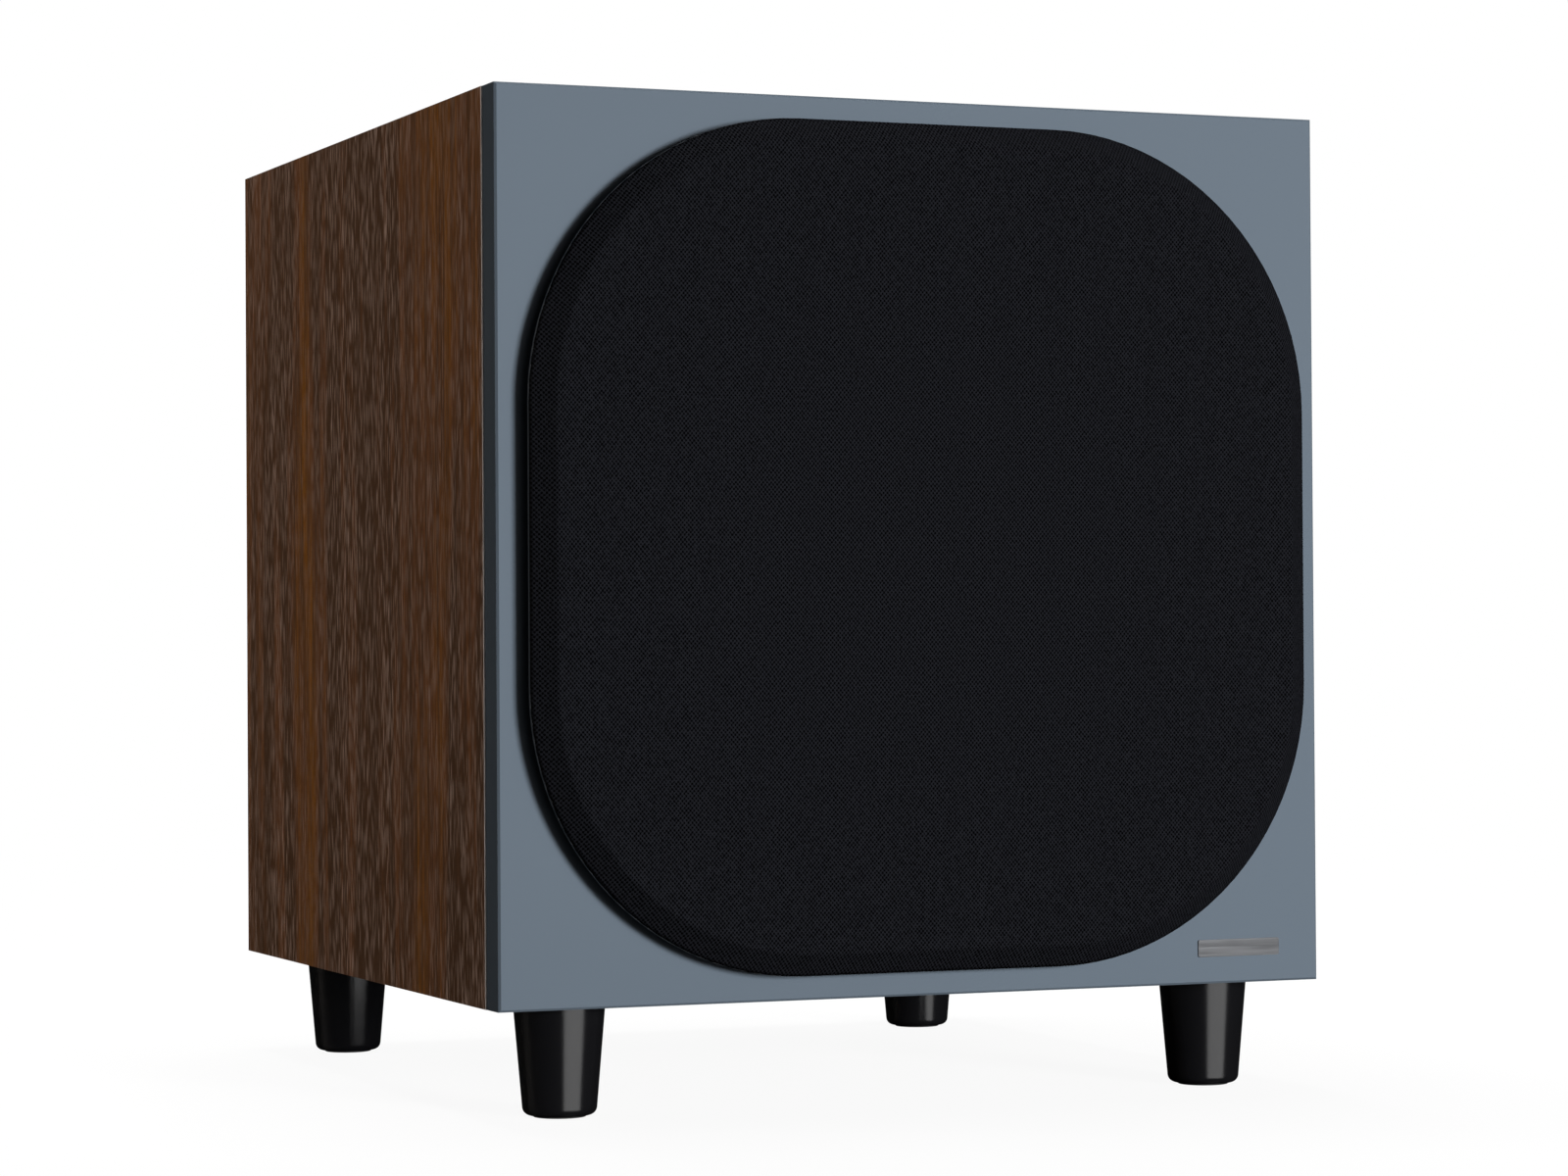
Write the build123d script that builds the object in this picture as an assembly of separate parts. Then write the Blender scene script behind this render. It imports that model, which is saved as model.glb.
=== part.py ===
"""A free-standing powered subwoofer with a 10-inch driver and a magnetic cloth grille.

Millimetres, +Z up, front towards -Y. The model is drawn with Y = 0 on the baffle's
front face and Z = 0 on the floor, and is moved at export so that its origin is the
centre of the bottom of its box.
"""
from build123d import *
import math
import os

# Cabinet
WIDTH = 325.0                 # baffle width, and height of the cabinet without its feet
HEIGHT = 325.0
DEPTH = 331.0                 # baffle's front face to the cabinet's back
FOOT_HEIGHT = 40.5
BOARD = 18.0                  # thickness of the cabinet's boards
SIDE_LEDGE = 0.4              # how far the side boards stand past the baffle
BAFFLE = 13.2                 # thickness of the lacquered front
BAFFLE_CHAMFER = 0.8
BRACE = (175.0, 187.0)        # the window brace's front and back
BRACE_WINDOW_HALF = 92.0
WADDING_DEPTH = (45.0, 165.0) # front and back of the wadding beside the driver
WADDING_THICKNESS = 18.0
WADDING_HALF_HEIGHT = 125.0
CENTRE_Z = FOOT_HEIGHT + HEIGHT / 2

# Feet
FOOT_X = 129.7
FOOT_FRONT_Y = 30.5
FOOT_REAR_Y = 296.8
FOOT_TOP_RADIUS = 16.6
FOOT_BOTTOM_RADIUS = 13.2
FOOT_EDGE = 3.0
PAD_RADIUS = 9.4
PAD_STAND_OUT = 0.6
PAD_THICKNESS = 2.2
BOLT_RADIUS = 3.0
BOLT_HEAD_RADIUS = 5.0
BOLT_SEAT = 26.0              # height of the shoulder that the bolt head pulls on

# Grille
GRILLE_HALF = 153.2           # half the width of the rim
GRILLE_CORNER = 102.7
GRILLE_BEVEL_INSET = 8.3
GRILLE_RIM = 8.0              # rim's front edge, in front of the baffle
GRILLE_FACE = 14.8            # flat front, in front of the baffle
GRILLE_LIP = 1.4
GRILLE_CLOTH = 0.8
GRILLE_WINDOW_HALF = 126.0
GRILLE_WINDOW_CORNER = 84.0
GRILLE_RING_HALF = 141.0
GRILLE_RING_CORNER = 90.5
GRILLE_GAP = 0.3              # rear of the grille to the baffle
MAGNET_RADIUS = 6.0
MAGNET_THICKNESS = 4.0
MAGNET_XZ = 107.8             # magnets sit on the diagonals, this far out both ways

# Badge: a blank plate
BADGE_SIZE = (34.0, 6.4)
BADGE_CENTRE = (128.8, 13.2)  # from the middle of the baffle's bottom edge
BADGE_THICKNESS = 0.5

# Driver, all radii from its axis and depths from the baffle's front face
FLANGE_RADIUS = 131.0
FLANGE_FRONT = 6.5
FLANGE_BACK = 12.0
BASKET_BORE = 112.5
BASKET_WALL = 4.0
BASKET_NECK = 78.0            # radius of the basket where it meets the motor
BASKET_REAR = 90.0
SPIDER_SEAT = 66.5
CONE_RADIUS = 98.0
CONE_DISH_RADIUS = 92.5
CONE_DEPTH = 27.5
CONE_SKIN = 1.1
ROLL_CENTRE = 105.3
ROLL_RADIUS = 8.2
ROLL_SKIN = 1.0
FORMER_RADIUS = 25.0
FORMER_WALL = 0.6
FORMER_END = 106.0
COIL_START = 82.0
COIL_WIRE = 1.4
POLE_RADIUS = 24.4
PLATE_BORE = 27.9
MOTOR_RADIUS = 75.0
PLATE_THICKNESS = 8.0
MAGNET_HEIGHT = 22.0
SCREW_CIRCLE = 124.5
DRIVER_SCREWS = 8

# Amplifier on the back
AMP_SIZE = (230.0, 250.0)
AMP_WINDOW = (206.0, 226.0)
AMP_GASKET = 0.8
AMP_PLATE = 2.5
PLATE_IN = DEPTH + AMP_GASKET             # inner face of the amplifier plate
PLATE_OUT = PLATE_IN + AMP_PLATE          # its outer face
BOARD_FRONT = 306.0                       # circuit board's front face
BOARD_SIZE = (190.0, 200.0)
BOARD_THICKNESS = 1.6

KNOB_RADIUS = 9.0
KNOB_FACE = PLATE_OUT + 8.4
SHAFT_RADIUS = 3.0
CONTROL_Z = CENTRE_Z + 84.0
VOLUME_X = 62.0
CROSSOVER_X = 18.0
PHASE_X = -26.0
MODE_X = -66.0
SWITCH_TRAVEL = 4.0
LEVER_SIZE = (3.6, 3.2)

JACK_Z = CENTRE_Z + 26.0
JACK_XS = (66.0, 46.0)
JACK_RADIUS = 4.15
JACK_LENGTH = 9.5
TRIGGER_X = 6.0
TRIGGER_BORE = 1.8
LED_X = -30.0

INLET_X = 40.0
INLET_Z = CENTRE_Z - 74.0
INLET_CAVITY = (24.6, 17.0, 17.0)         # across, up, deep
DRAWER_SIZE = (23.4, 20.0, 7.4)           # across, deep, up
DRAWER_Z = INLET_Z - 19.0
ROCKER_X = -4.0
ROCKER_Z = INLET_Z - 4.0
ROCKER_RADIUS = 8.8
ROCKER_TILT = 10.0

REAR_REACH = PLATE_OUT + JACK_LENGTH      # the input jacks reach furthest back
Y_MIDDLE = (REAR_REACH - GRILLE_FACE) / 2


def block(xs, ys, zs):
    """A box between two X, two Y and two Z values."""
    size = [high - low for low, high in (xs, ys, zs)]
    middle = [(high + low) / 2 for low, high in (xs, ys, zs)]
    return Pos(*middle) * Box(*size)


def slab(outline, front, back):
    """An outline drawn in X and Z, made solid from Y = front to Y = back."""
    return Pos(0, front, 0) * extrude(Plane.XZ * outline, amount=front - back)


def rod(x, z, radius, front, back):
    """A cylinder along Y."""
    return Pos(x, (front + back) / 2, z) * Rot(90, 0, 0) * Cylinder(radius, back - front)


def tube(x, z, outer, inner, front, back):
    """A hollow cylinder along Y."""
    return rod(x, z, outer, front, back) - rod(x, z, inner, front - 1, back + 1)


def polygon(points):
    """A flat face inside straight lines through the points."""
    return make_face(Polyline(*points, close=True))


def turned(profile):
    """A profile of (radius, depth) turned about the driver's axis."""
    return Pos(0, 0, CENTRE_Z) * revolve(profile, Axis.Y)


def rounded_square(half, corner):
    """A rounded square on the driver's axis, drawn in X and Z."""
    return Pos(0, CENTRE_Z) * RectangleRounded(2 * half, 2 * half, corner)


def four_corners():
    """The signs of X and Z at four corners."""
    return [(sx, sz) for sx in (-1, 1) for sz in (-1, 1)]


def around(radius, count, first_angle=0.0):
    """X and Z of points spaced evenly about the driver's axis."""
    angles = [math.radians(first_angle + 360 * i / count) for i in range(count)]
    return [(radius * math.cos(a), CENTRE_Z + radius * math.sin(a)) for a in angles]


def group(solids):
    """Separate solids that share one node."""
    return Compound(children=list(solids))


# ---------------------------------------------------------------- cabinet

def cabinet_boards():
    """Four mitred boards behind the baffle, veneered on the outside."""
    side_x = WIDTH / 2 + SIDE_LEDGE
    inner_x = WIDTH / 2 - BOARD
    low, high = FOOT_HEIGHT, FOOT_HEIGHT + HEIGHT
    side = [(side_x, low), (side_x, high), (inner_x, high - BOARD), (inner_x, low + BOARD)]
    top = [(-side_x, high), (side_x, high), (inner_x, high - BOARD), (-inner_x, high - BOARD)]
    bottom = [(-side_x, low), (side_x, low), (inner_x, low + BOARD), (-inner_x, low + BOARD)]
    right = slab(polygon(side), BAFFLE, DEPTH)
    floor = slab(polygon(bottom), BAFFLE, DEPTH)
    for x, y in foot_places():
        floor -= Pos(x, y, low + BOARD / 2) * Cylinder(BOLT_RADIUS + 0.3, BOARD + 2)
    return {
        "side_panel_left": mirror(right, Plane.YZ),
        "side_panel_right": right,
        "top_panel": slab(polygon(top), BAFFLE, DEPTH),
        "bottom_panel": floor,
    }


def screw_holes(radius, places, front, back):
    """Holes along Y at each place."""
    return [rod(x, z, radius, front, back) for x, z in places]


def front_baffle():
    """The lacquered front: chamfered all round, bored for the driver, magnets behind."""
    face = Pos(0, CENTRE_Z) * Rectangle(WIDTH, HEIGHT)
    baffle = slab(face, 0, BAFFLE)
    rim = baffle.faces().sort_by(Axis.Y)[0].edges()
    baffle = chamfer(rim, BAFFLE_CHAMFER)
    baffle -= rod(0, CENTRE_Z, FLANGE_RADIUS + 0.6, -1, BAFFLE + 1)
    for x, z in magnet_places():
        baffle -= rod(x, z, MAGNET_RADIUS + 0.1, 2.0, BAFFLE + 1)
    return baffle


def inner_baffle():
    """The board behind the lacquered front, which carries the driver."""
    half_x = WIDTH / 2 - BOARD
    half_z = HEIGHT / 2 - BOARD
    board = block((-half_x, half_x), (BAFFLE, BAFFLE + BOARD), (CENTRE_Z - half_z, CENTRE_Z + half_z))
    board -= rod(0, CENTRE_Z, BASKET_BORE + BASKET_WALL + 1.5, BAFFLE - 1, BAFFLE + BOARD + 1)
    for hole in screw_holes(2.55, around(SCREW_CIRCLE, DRIVER_SCREWS), BAFFLE - 1, 29.0):
        board -= hole
    return board


def back_panel():
    """The back board, with the amplifier's window and screw holes."""
    half_x = WIDTH / 2 - BOARD
    half_z = HEIGHT / 2 - BOARD
    board = block((-half_x, half_x), (DEPTH - BOARD, DEPTH), (CENTRE_Z - half_z, CENTRE_Z + half_z))
    board -= slab(Pos(0, CENTRE_Z) * Rectangle(*AMP_WINDOW), DEPTH - BOARD - 1, DEPTH + 1)
    for hole in screw_holes(2.05, amp_screw_places(), DEPTH - 16, DEPTH + 1):
        board -= hole
    return board


def cross_brace():
    """A window-frame brace across the middle of the cabinet."""
    half_x = WIDTH / 2 - BOARD
    half_z = HEIGHT / 2 - BOARD
    board = block((-half_x, half_x), BRACE, (CENTRE_Z - half_z, CENTRE_Z + half_z))
    return board - slab(rounded_square(BRACE_WINDOW_HALF, 30), BRACE[0] - 1, BRACE[1] + 1)


def magnet_places():
    """X and Z of the four grille magnets."""
    return [(sx * MAGNET_XZ, CENTRE_Z + sz * MAGNET_XZ) for sx, sz in four_corners()]


def badge():
    """A blank oblong plate on the baffle's lower right."""
    outline = Pos(BADGE_CENTRE[0], FOOT_HEIGHT + BADGE_CENTRE[1]) * RectangleRounded(*BADGE_SIZE, 0.8)
    return slab(outline, -BADGE_THICKNESS, 0)


def wadding_pads():
    """Two slabs of wadding against the side boards, beside the driver."""
    inner = WIDTH / 2 - BOARD - 0.5
    heights = (CENTRE_Z - WADDING_HALF_HEIGHT, CENTRE_Z + WADDING_HALF_HEIGHT)
    right = block((inner - WADDING_THICKNESS, inner), WADDING_DEPTH, heights)
    return group([right, mirror(right, Plane.YZ)])


# ---------------------------------------------------------------- feet

def foot_places():
    """X and Y of the four feet."""
    return [(sx * FOOT_X, y) for y in (FOOT_FRONT_Y, FOOT_REAR_Y) for sx in (-1, 1)]


def foot():
    """A tapered moulded foot, recessed for its pad and bored for its bolt."""
    profile = [
        (0, PAD_STAND_OUT),
        (FOOT_BOTTOM_RADIUS, PAD_STAND_OUT),
        (FOOT_TOP_RADIUS, FOOT_HEIGHT),
        (0, FOOT_HEIGHT),
    ]
    solid = revolve(Plane.XZ * polygon(profile), Axis.Z)
    solid = fillet(solid.edges().group_by(Axis.Z)[0], FOOT_EDGE)
    pad_top = PAD_THICKNESS + 0.05
    solid -= Pos(0, 0, pad_top / 2) * Cylinder(PAD_RADIUS + 0.1, pad_top)
    solid -= Pos(0, 0, BOLT_SEAT / 2) * Cylinder(BOLT_HEAD_RADIUS + 1.5, BOLT_SEAT)
    solid -= Pos(0, 0, FOOT_HEIGHT / 2) * Cylinder(BOLT_RADIUS + 0.3, FOOT_HEIGHT + 2)
    return solid


def foot_bolt():
    """A socket-head bolt that holds a foot to the bottom board."""
    head = Pos(0, 0, BOLT_SEAT - 2.5) * Cylinder(BOLT_HEAD_RADIUS, 5)
    shank_top = FOOT_HEIGHT + BOARD - 3
    shank = Pos(0, 0, (BOLT_SEAT + shank_top) / 2) * Cylinder(BOLT_RADIUS, shank_top - BOLT_SEAT)
    socket = Pos(0, 0, BOLT_SEAT - 4) * extrude(RegularPolygon(2.5, 6), 2.5, both=True)
    return head + shank - socket


def feet():
    """Four feet, their pads and their bolts."""
    names = ("foot_front_left", "foot_front_right", "foot_rear_left", "foot_rear_right")
    pad = Pos(0, 0, PAD_THICKNESS / 2) * Cylinder(PAD_RADIUS, PAD_THICKNESS)
    places = foot_places()
    nodes = {name: Pos(x, y, 0) * foot() for name, (x, y) in zip(names, places)}
    nodes["foot_pads"] = group(Pos(x, y, 0) * pad for x, y in places)
    nodes["foot_bolts"] = group(Pos(x, y, 0) * foot_bolt() for x, y in places)
    return nodes


# ---------------------------------------------------------------- driver

def basket():
    """The cast frame: flange, six legs, a seat for the spider and a ring for the motor."""
    outer = BASKET_BORE + BASKET_WALL
    slope = (outer - BASKET_NECK) / 40.0
    seat_radius = BASKET_BORE - (SPIDER_SEAT - 32.5) * slope
    profile = [
        (BASKET_BORE, FLANGE_FRONT),
        (FLANGE_RADIUS, FLANGE_FRONT),
        (FLANGE_RADIUS, FLANGE_BACK),
        (outer, FLANGE_BACK),
        (outer, 34.0),
        (BASKET_NECK, 74.0),
        (BASKET_NECK, BASKET_REAR),
        (52.0, BASKET_REAR),
        (52.0, BASKET_REAR - 4),
        (BASKET_NECK - 4.5, BASKET_REAR - 4),
        (BASKET_NECK - 4.5, SPIDER_SEAT + 2.5),
        (65.0, SPIDER_SEAT + 2.5),
        (65.0, SPIDER_SEAT),
        (seat_radius, SPIDER_SEAT),
        (BASKET_BORE, 32.5),
    ]
    frame = turned(polygon(profile))
    for i in range(6):
        window = Pos(103, 50.5, 0) * Box(46, 25, 60)
        frame -= Pos(0, 0, CENTRE_Z) * Rot(0, 30 + 60 * i, 0) * window
    for hole in screw_holes(2.8, around(SCREW_CIRCLE, DRIVER_SCREWS), 0, BAFFLE):
        frame -= hole
    return frame


def driver_gasket():
    """A foam ring between the basket's flange and the inner baffle."""
    ring = tube(0, CENTRE_Z, FLANGE_RADIUS, BASKET_BORE + BASKET_WALL + 1.5, FLANGE_BACK, BAFFLE)
    for hole in screw_holes(2.8, around(SCREW_CIRCLE, DRIVER_SCREWS), FLANGE_BACK - 1, BAFFLE + 1):
        ring -= hole
    return ring


def driver_screws():
    """Pan-head screws round the flange."""
    return group(
        rod(x, z, 4.5, FLANGE_FRONT - 3, FLANGE_FRONT) + rod(x, z, 2.5, FLANGE_FRONT, 28)
        for x, z in around(SCREW_CIRCLE, DRIVER_SCREWS)
    )


def trim_ring():
    """A moulded ring over the screws, which also covers the surround's edge."""
    profile = [
        (114.0, 1.5),
        (FLANGE_RADIUS + 0.2, 1.5),
        (FLANGE_RADIUS + 0.2, FLANGE_FRONT),
        (129.6, FLANGE_FRONT),
        (129.6, 3.2),
        (119.4, 3.2),
        (119.4, 5.6),
        (114.0, 5.6),
    ]
    ring = turned(polygon(profile))
    return fillet(ring.edges().filter_by(GeomType.CIRCLE).group_by(Axis.Y)[0], 0.8)


def surround():
    """A rubber half roll with a flat lip on each side."""
    lip_front, lip_back = FLANGE_FRONT - 0.8, FLANGE_FRONT - 0.1
    half_plane = Pos(ROLL_CENTRE, lip_back - 20) * Rectangle(60, 40)
    roll = Pos(ROLL_CENTRE, lip_back) * (Circle(ROLL_RADIUS) - Circle(ROLL_RADIUS - ROLL_SKIN))
    roll = roll & half_plane
    lip_middle = (lip_front + lip_back) / 2
    lip_height = lip_back - lip_front
    outer_lip = Pos((112.8 + 118.8) / 2, lip_middle) * Rectangle(6.0, lip_height)
    inner_lip = Pos((92.6 + 97.8) / 2, lip_middle) * Rectangle(5.2, lip_height)
    return turned(roll + outer_lip + inner_lip)


def dish_depth(radius, skin=0.0):
    """Depth of the dished cone's surface at a radius, behind its front by skin."""
    sphere = (CONE_DISH_RADIUS ** 2 + CONE_DEPTH ** 2) / (2 * CONE_DEPTH)
    centre = FLANGE_FRONT + CONE_DEPTH - sphere
    return centre + math.sqrt((sphere + skin) ** 2 - radius ** 2)


def cone():
    """One dished metal diaphragm with a flat rim."""
    middle = CONE_DISH_RADIUS / 2
    front = ThreePointArc(
        (CONE_DISH_RADIUS, FLANGE_FRONT),
        (middle, dish_depth(middle)),
        (0, dish_depth(0)),
    )
    back_edge = (CONE_DISH_RADIUS, dish_depth(CONE_DISH_RADIUS, CONE_SKIN))
    back = ThreePointArc(
        (0, dish_depth(0, CONE_SKIN)),
        (middle, dish_depth(middle, CONE_SKIN)),
        back_edge,
    )
    outline = front + Line(front @ 1, back @ 0) + back
    outline += Polyline(
        back_edge,
        (CONE_RADIUS, back_edge[1]),
        (CONE_RADIUS, FLANGE_FRONT),
        (CONE_DISH_RADIUS, FLANGE_FRONT),
    )
    return turned(make_face(outline))


def voice_coil_former():
    """The tube that joins the cone to the coil."""
    start = dish_depth(FORMER_RADIUS, CONE_SKIN) + 0.05
    return tube(0, CENTRE_Z, FORMER_RADIUS + FORMER_WALL, FORMER_RADIUS, start, FORMER_END)


def voice_coil():
    """The winding on the rear of the former."""
    inner = FORMER_RADIUS + FORMER_WALL
    return tube(0, CENTRE_Z, inner + COIL_WIRE, inner, COIL_START, FORMER_END)


def spider():
    """A corrugated cloth disc that centres the coil."""
    skin = 0.7
    back = SPIDER_SEAT - 0.1
    first, last, step = 30.0, 64.0, 34.0 / 40
    radii = [first + step * i for i in range(41)]
    wave = [1.8 * math.sin(2 * math.pi * (r - first) / (last - first) * 5) for r in radii]
    front_points = [(r, back - skin + w) for r, w in zip(radii, wave)]
    back_points = [(r, back + w) for r, w in zip(radii, wave)]
    inner = FORMER_RADIUS + FORMER_WALL + 0.2
    profile = [(inner, back - skin)] + front_points + [(77.0, back - skin), (77.0, back)]
    profile += back_points[::-1] + [(inner, back)]
    return turned(polygon(profile))


def motor():
    """Top plate, ferrite ring and the yoke with its vented pole."""
    plate_back = BASKET_REAR + PLATE_THICKNESS
    magnet_back = plate_back + MAGNET_HEIGHT
    yoke_back = magnet_back + PLATE_THICKNESS
    yoke = rod(0, CENTRE_Z, MOTOR_RADIUS - 3, magnet_back, yoke_back)
    yoke += rod(0, CENTRE_Z, POLE_RADIUS, BASKET_REAR - 1, magnet_back)
    yoke -= rod(0, CENTRE_Z, 9.0, BASKET_REAR - 2, yoke_back + 1)
    return {
        "top_plate": tube(0, CENTRE_Z, MOTOR_RADIUS, PLATE_BORE, BASKET_REAR, plate_back),
        "magnet_ring": tube(0, CENTRE_Z, MOTOR_RADIUS, 36.0, plate_back, magnet_back),
        "pole_yoke": yoke,
    }


def driver_terminals():
    """A terminal strip with two tabs, on the side of the basket's neck."""
    base = block((BASKET_NECK, BASKET_NECK + 3), (76, 88), (CENTRE_Z - 12, CENTRE_Z + 12))
    for sz in (-1, 1):
        z = CENTRE_Z + sz * 7
        base += block((BASKET_NECK + 3, BASKET_NECK + 3.8), (80, 88), (z - 2.4, z + 2.4))
    return base


def speaker_lead():
    """The twin lead from the amplifier's connector to the driver's terminals."""
    x = BASKET_NECK + 3.0 + 2.6
    route = [
        (x, 289.9, CENTRE_Z),
        (x, 262.0, CENTRE_Z),
        (x, 200.0, CENTRE_Z - 14),
        (x, 130.0, CENTRE_Z - 14),
        (x, 88.4, CENTRE_Z),
    ]
    path = FilletPolyline(*route, radius=[90.0, 120.0, 90.0])
    start = Plane(origin=path @ 0, z_dir=path % 0)
    return sweep(start * Circle(1.6), path=path)


# ---------------------------------------------------------------- grille

def pillow(rim_half, rim_corner, face_inset, rim, face):
    """A rounded square whose bevelled edge runs in from its rim to its flat face."""
    back = Pos(0, -rim, 0) * (Plane.XZ * rounded_square(rim_half, rim_corner))
    front = Pos(0, -face, 0) * (
        Plane.XZ * rounded_square(rim_half - face_inset, rim_corner - face_inset)
    )
    return loft([back, front], ruled=True)


def grille():
    """A frame with a projecting lip, a ring behind it, cloth over it and four magnets."""
    slope = math.atan2(GRILLE_FACE - GRILLE_RIM, GRILLE_BEVEL_INSET)
    skin_inset = GRILLE_CLOTH / math.sin(slope)
    core_face = GRILLE_FACE - GRILLE_CLOTH
    core_inset = (core_face - GRILLE_RIM) / math.tan(slope)
    core_half = GRILLE_HALF - skin_inset
    core_corner = GRILLE_CORNER - skin_inset
    core = pillow(core_half, core_corner, core_inset, GRILLE_RIM, core_face)
    cloth = pillow(GRILLE_HALF, GRILLE_CORNER, GRILLE_BEVEL_INSET, GRILLE_RIM, GRILLE_FACE) - core
    ring_front = -(GRILLE_RIM - GRILLE_LIP)
    window = slab(rounded_square(GRILLE_WINDOW_HALF, GRILLE_WINDOW_CORNER), -20, 5)
    frame = core + slab(rounded_square(GRILLE_HALF, GRILLE_CORNER), -GRILLE_RIM, ring_front)
    ring = slab(rounded_square(GRILLE_RING_HALF, GRILLE_RING_CORNER), ring_front, -GRILLE_GAP)
    ring -= window
    for x, z in magnet_places():
        ring -= rod(x, z, MAGNET_RADIUS, -GRILLE_GAP - MAGNET_THICKNESS, 1)
    magnets = group(
        rod(x, z, MAGNET_RADIUS, -GRILLE_GAP - MAGNET_THICKNESS, -GRILLE_GAP)
        for x, z in magnet_places()
    )
    return {
        "grille_frame": frame - window,
        "grille_back_ring": ring,
        "grille_cloth": cloth,
        "grille_magnets": magnets,
    }


# ---------------------------------------------------------------- amplifier

def amp_screw_places():
    """X and Z of the screws round the amplifier plate."""
    x = AMP_SIZE[0] / 2 - 6
    z = AMP_SIZE[1] / 2 - 6
    sides = [(sx * x, CENTRE_Z + z * step / 2) for sx in (-1, 1) for step in (-2, -1, 0, 1, 2)]
    return sides + [(0, CENTRE_Z - z), (0, CENTRE_Z + z)]


def amp_plate():
    """The aluminium rear plate, cut for every control and socket."""
    face = Pos(0, CENTRE_Z) * RectangleRounded(*AMP_SIZE, 6)
    for x in (VOLUME_X, CROSSOVER_X):
        face -= Pos(x, CONTROL_Z) * Circle(3.6)
    for x in (PHASE_X, MODE_X):
        face -= Pos(x, CONTROL_Z) * Rectangle(LEVER_SIZE[0] + SWITCH_TRAVEL + 1.2, LEVER_SIZE[1] + 1.2)
    for x in JACK_XS:
        face -= Pos(x, JACK_Z) * Circle(JACK_RADIUS + 0.2)
    face -= Pos(TRIGGER_X, JACK_Z) * Circle(4.0)
    face -= Pos(LED_X, JACK_Z) * Circle(1.6)
    face -= Pos(INLET_X, INLET_Z - 7.5) * Rectangle(29, 37)
    face -= Pos(ROCKER_X, ROCKER_Z) * Rectangle(15, 21)
    plate = slab(face, PLATE_IN, PLATE_OUT)
    for hole in screw_holes(2.2, amp_screw_places(), PLATE_IN - 1, PLATE_OUT + 1):
        plate -= hole
    return plate


def amp_gasket():
    """A foam frame between the plate and the back board."""
    face = Pos(0, CENTRE_Z) * (RectangleRounded(*AMP_SIZE, 6) - Rectangle(*AMP_WINDOW))
    gasket = slab(face, DEPTH, PLATE_IN)
    for hole in screw_holes(2.2, amp_screw_places(), DEPTH - 1, PLATE_OUT):
        gasket -= hole
    return gasket


def amp_screws():
    """Pan-head screws with a cross recess."""
    screws = []
    for x, z in amp_screw_places():
        head = rod(x, z, 3.8, PLATE_OUT, PLATE_OUT + 2.2)
        head = fillet(head.edges().sort_by(Axis.Y)[-1], 1.0)
        deep, out = PLATE_OUT + 1.0, PLATE_OUT + 3.0
        head -= block((x - 2.2, x + 2.2), (deep, out), (z - 0.4, z + 0.4))
        head -= block((x - 0.4, x + 0.4), (deep, out), (z - 2.2, z + 2.2))
        screws.append(head + rod(x, z, 2.0, DEPTH - 13, PLATE_OUT))
    return group(screws)


def circuit():
    """The circuit board and the large parts on it."""
    half_x = BOARD_SIZE[0] / 2
    half_z = BOARD_SIZE[1] / 2
    board = block(
        (-half_x, half_x),
        (BOARD_FRONT, BOARD_FRONT + BOARD_THICKNESS),
        (CENTRE_Z - half_z, CENTRE_Z + half_z),
    )
    board += block((77, 90), (290, BOARD_FRONT), (CENTRE_Z - 8, CENTRE_Z + 8))
    core = block((-85, -35), (268, BOARD_FRONT), (CENTRE_Z - 90, CENTRE_Z - 46))
    winding = block((-79, -41), (260, 300), (CENTRE_Z - 84, CENTRE_Z - 52))
    sink = block((-85, -5), (296, BOARD_FRONT), (CENTRE_Z + 10, CENTRE_Z + 90))
    for i in range(9):
        x = -83 + 9.4 * i
        sink += block((x, x + 2), (262, 296), (CENTRE_Z + 10, CENTRE_Z + 90))
    cans = [(x, CENTRE_Z + dz) for x in (6, 34) for dz in (-78, -48)]
    return {
        "main_board": board,
        "supply_transformer": core + winding,
        "heatsink": sink,
        "supply_capacitors": group(rod(x, z, 12.5, 264, BOARD_FRONT) for x, z in cans),
    }


def knob(x):
    """A fluted knob with a pointer groove at the top, on a bored boss."""
    front = PLATE_OUT + 0.8
    solid = rod(x, CONTROL_Z, KNOB_RADIUS, front, KNOB_FACE)
    solid = chamfer(solid.edges().filter_by(GeomType.CIRCLE).sort_by(Axis.Y)[-1], 0.8)
    for i in range(24):
        angle = math.radians(15 * i)
        flute_x = x + KNOB_RADIUS * math.cos(angle)
        flute_z = CONTROL_Z + KNOB_RADIUS * math.sin(angle)
        solid -= rod(flute_x, flute_z, 0.55, front + 1.6, KNOB_FACE + 1)
    solid -= rod(x, CONTROL_Z, SHAFT_RADIUS, front - 1, KNOB_FACE - 1.6)
    pointer = (CONTROL_Z + 2, CONTROL_Z + KNOB_RADIUS + 1)
    return solid - block((x - 0.6, x + 0.6), (KNOB_FACE - 0.5, KNOB_FACE + 1), pointer)


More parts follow.
